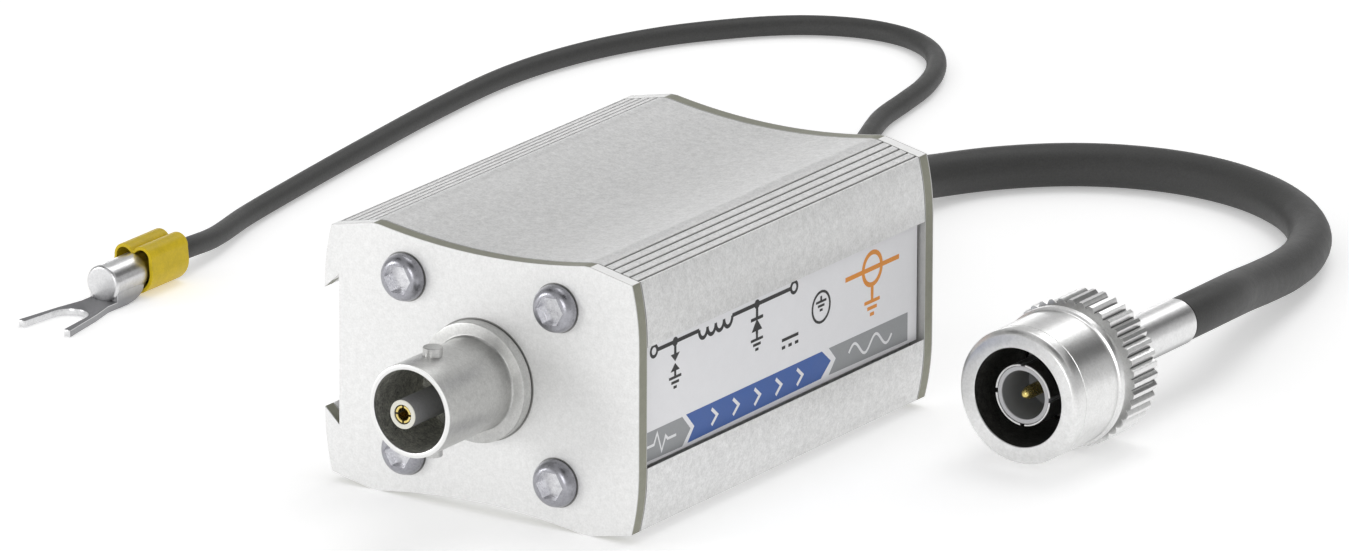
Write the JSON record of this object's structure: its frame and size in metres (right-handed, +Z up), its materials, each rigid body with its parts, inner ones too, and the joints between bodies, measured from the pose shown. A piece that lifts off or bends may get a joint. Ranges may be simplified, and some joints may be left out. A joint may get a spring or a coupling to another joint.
{
  "type": "coax lightning arrestor",
  "caption": "Extruded aluminium coax surge arrestor box with a bayonet jack, a short coax lead to a knurled plug, and an earth wire to a fork terminal.",
  "frame": {"origin": "on the floor, under the middle of the case measured with its jack and cable gland, on the case's centre plane", "axes": "+Z up; +Y from the jack towards the end where the leads leave; +X towards the side with the rating label"},
  "size_m": [0.1272, 0.1758, 0.0281],
  "materials": {
    "case": "satin, fine grain along the length",
    "end_plates": "satin",
    "screws": "satin steel",
    "jack_nickel": "bright nickel",
    "plug_nickel": "bright nickel",
    "gold": "gold plated",
    "insulator": "white, smooth",
    "board": "green lacquer",
    "ceramic": "white",
    "coil": "enamelled copper wire",
    "diode": "moulded black",
    "label": "printed film",
    "glands": "moulded black",
    "leads": "dark grey jacket, soft sheen",
    "core": "translucent white",
    "spring_steel": "bare spring steel",
    "terminal": "tin plated",
    "terminal_sleeve": "yellow vinyl"
  },
  "bodies": {
    "arrestor": {"housing": "case", "front_plate": "end_plates", "rear_plate": "end_plates", "front_screw_upper_left": "screws", "front_screw_upper_right": "screws", "front_screw_lower_left": "screws", "front_screw_lower_right": "screws", "rear_screw_upper_left": "screws", "rear_screw_upper_right": "screws", "rear_screw_lower_left": "screws", "rear_screw_lower_right": "screws", "jack_shell": "jack_nickel", "jack_lock_washer": "jack_nickel", "jack_nut": "jack_nickel", "plug_body": "plug_nickel", "crimp_ferrule": "plug_nickel", "jack_contact": "gold", "plug_pin": "gold", "jack_insulator": "insulator", "plug_insulator": "insulator", "circuit_board": "board", "gas_discharge_tube": "ceramic", "decoupling_coil": "coil", "suppressor_diode": "diode", "rating_label": "label", "coax_gland": "glands", "earth_gland": "glands", "coax_cable": "leads", "earth_wire": "leads", "coax_core": "core", "wave_washer": "spring_steel", "snap_ring": "spring_steel", "fork_terminal": "terminal", "terminal_sleeve": "terminal_sleeve"},
    "nut_slider": {"thrust_washer": "spring_steel"},
    "nut": {"coupling_nut": "plug_nickel"}
  },
  "joints": [
    {"name": "nut_float", "type": "slide", "parent": "arrestor", "child": "nut_slider", "axis": [0, -1, 0], "range_m": [0, 0.0008], "stiffness_N_per_m": 1500, "deforming": ["wave_washer"]},
    {"name": "nut_spin", "type": "hinge", "parent": "nut_slider", "child": "nut", "pos_m": [0.03727, 0.02616, 0.00778], "axis": [0, 1, 0], "continuous": true}
  ]
}
